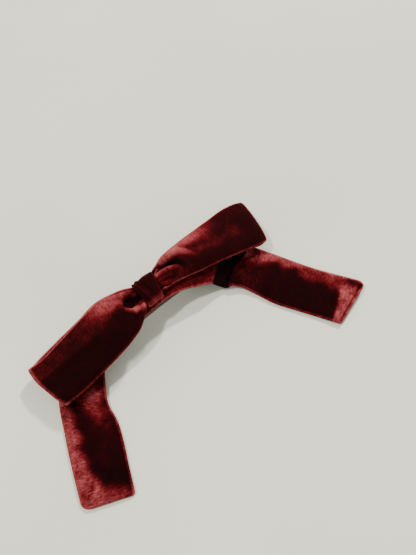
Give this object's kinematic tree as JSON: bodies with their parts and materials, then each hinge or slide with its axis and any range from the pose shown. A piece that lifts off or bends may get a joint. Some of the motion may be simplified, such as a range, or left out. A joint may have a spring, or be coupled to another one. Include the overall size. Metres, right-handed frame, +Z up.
{
  "type": "bow barrette",
  "caption": "Velvet ribbon bow with two flat loops and two long splayed tails, on a spring hair clip whose hinged clasp arm snaps onto a squeeze catch.",
  "frame": {"origin": "middle of the footprint, on the surface the barrette lies on, bow upwards", "axes": "+X along the bow, towards the catch end of the clip; +Y away from the tails; +Z up, out of the front of the bow"},
  "size_m": [0.2172, 0.1064, 0.0314],
  "materials": {
    "steel": "nickel-plated, satin",
    "spring_steel": "nickel-plated, satin, thin rolled strip",
    "velvet": "silk velvet, short brushed pile, dark face with a rose sheen",
    "thread": "twisted polyester thread, matt",
    "glue": "set hot-melt adhesive, slightly cloudy"
  },
  "bodies": {
    "clip_and_bow": {"base_plate": "steel", "hinge_pin": "steel", "tension_bar_rivet": "steel", "catch_saddle": "spring_steel", "catch_rivet": "steel", "glue_bed": "glue", "tail_ribbon": "velvet", "loop_ribbon": "velvet", "waist_thread": "thread", "knot_band": "velvet"},
    "clasp": {"clasp_arm": "steel"},
    "bar": {"tension_bar": "spring_steel"},
    "prong_front": {"catch_prong_front": "spring_steel"},
    "prong_rear": {"catch_prong_rear": "spring_steel"}
  },
  "joints": [
    {"name": "clasp_open", "type": "hinge", "parent": "clip_and_bow", "child": "clasp", "pos_m": [-0.04068, 0.03452, 0.0022], "axis": [0, 1, 0], "range_deg": [0, 100]},
    {"name": "tension_bar_flex", "type": "hinge", "parent": "clip_and_bow", "child": "bar", "pos_m": [-0.03296, 0.03452, 0.01148], "axis": [0, 1, 0], "range_deg": [-2, 0], "stiffness_Nm_per_rad": 0.6},
    {"name": "prong_front_squeeze", "type": "hinge", "parent": "clip_and_bow", "child": "prong_front", "pos_m": [0.03227, 0.03247, 0.00558], "axis": [1, 0, 0], "range_deg": [0, 8], "stiffness_Nm_per_rad": 0.05},
    {"name": "prong_rear_squeeze", "type": "hinge", "parent": "clip_and_bow", "child": "prong_rear", "pos_m": [0.03227, 0.03657, 0.00558], "axis": [1, 0, 0], "range_deg": [-8, 0], "stiffness_Nm_per_rad": 0.05}
  ]
}
